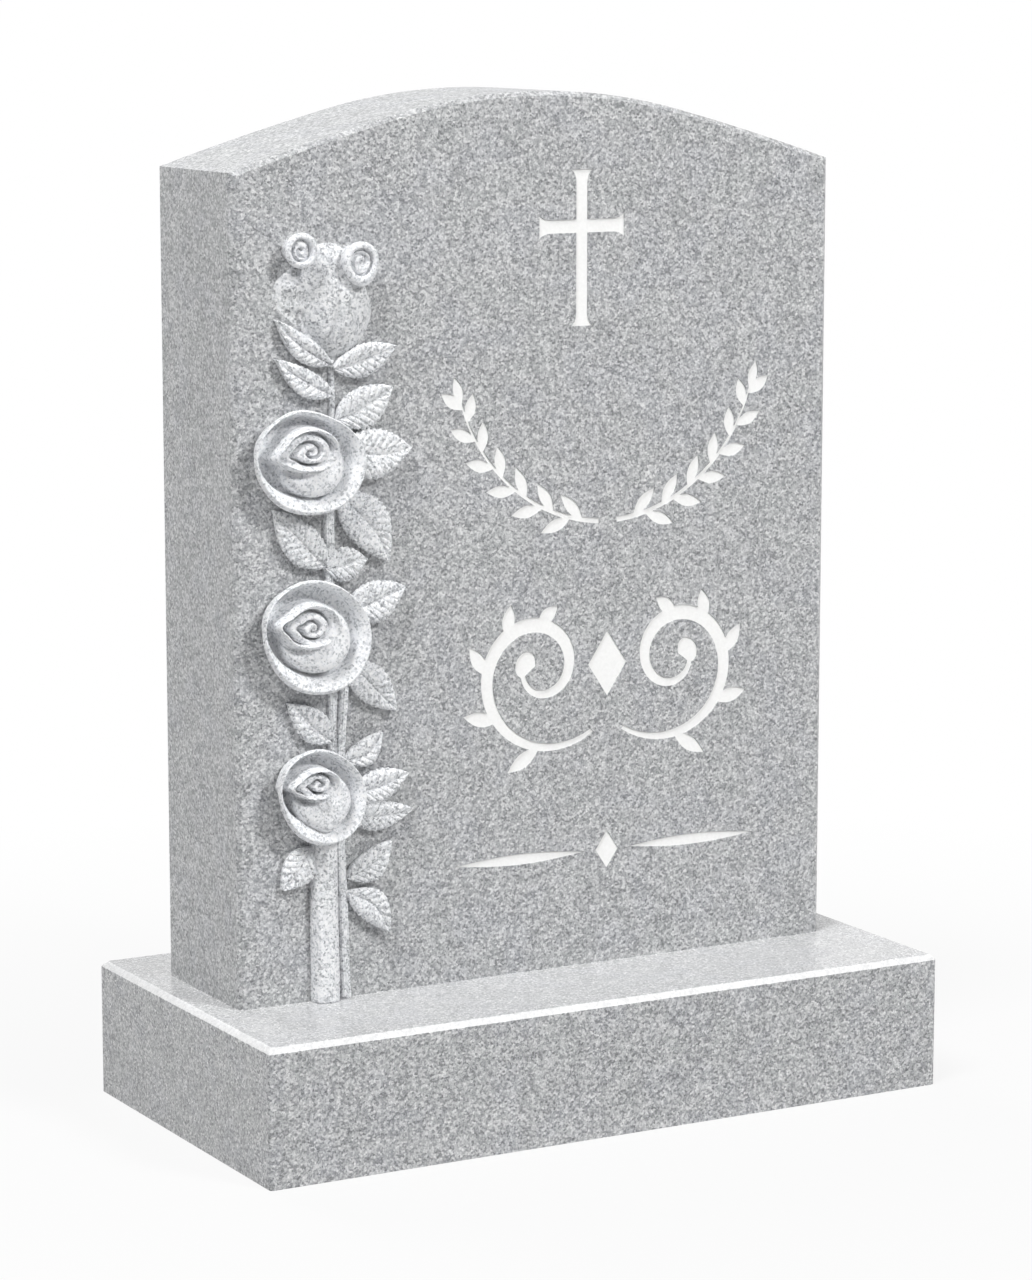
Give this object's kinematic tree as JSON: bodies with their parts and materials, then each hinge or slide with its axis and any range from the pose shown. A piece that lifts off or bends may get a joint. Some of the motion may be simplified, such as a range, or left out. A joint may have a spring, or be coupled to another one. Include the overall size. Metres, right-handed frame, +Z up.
{
  "type": "upright headstone",
  "caption": "Upright granite headstone with a crowned tablet on a plain base, a spray of roses carved down its left side and white-filled sunk ornament.",
  "frame": {"origin": "centre of the base's underside, on the ground", "axes": "+Z up; the carved face looks along -Y; +X to the viewer's right"},
  "size_m": [0.69, 0.36, 0.925],
  "materials": {
    "polished_granite": "polished fine-grained light grey granite",
    "carved_granite": "frosted carved light grey granite",
    "white_fill": "matt white filling in the sunk ornament"
  },
  "bodies": {
    "root": {"base": "polished_granite", "tablet": "polished_granite", "cross_fill": "white_fill", "branch_left": "white_fill", "branch_right": "white_fill", "scroll_left": "white_fill", "scroll_right": "white_fill", "scroll_lozenge": "white_fill", "rule_left": "white_fill", "rule_right": "white_fill", "rule_lozenge": "white_fill", "rose_upper": "carved_granite", "rose_middle": "carved_granite", "rose_lower": "carved_granite", "bud_left": "carved_granite", "bud_right": "carved_granite", "bud_top": "carved_granite", "stem_main": "carved_granite", "stem_side": "carved_granite", "stem_middle_left": "carved_granite", "stem_middle_right": "carved_granite", "stem_upper": "carved_granite", "stem_top": "carved_granite", "leaf_top_left_upper": "carved_granite", "leaf_top_left_lower": "carved_granite", "leaf_top_right_upper": "carved_granite", "leaf_top_right_lower": "carved_granite", "leaf_by_upper_rose": "carved_granite", "leaf_under_upper_rose_left": "carved_granite", "leaf_under_upper_rose_middle": "carved_granite", "leaf_under_upper_rose_right": "carved_granite", "leaf_by_middle_rose": "carved_granite", "leaf_under_middle_rose_left": "carved_granite", "leaf_under_middle_rose_right": "carved_granite", "leaf_by_lower_rose_upper": "carved_granite", "leaf_by_lower_rose_middle": "carved_granite", "leaf_by_lower_rose_lower": "carved_granite", "leaf_by_main_stem": "carved_granite", "leaf_by_side_stem_upper": "carved_granite", "leaf_by_side_stem_lower": "carved_granite"}
  },
  "joints": []
}
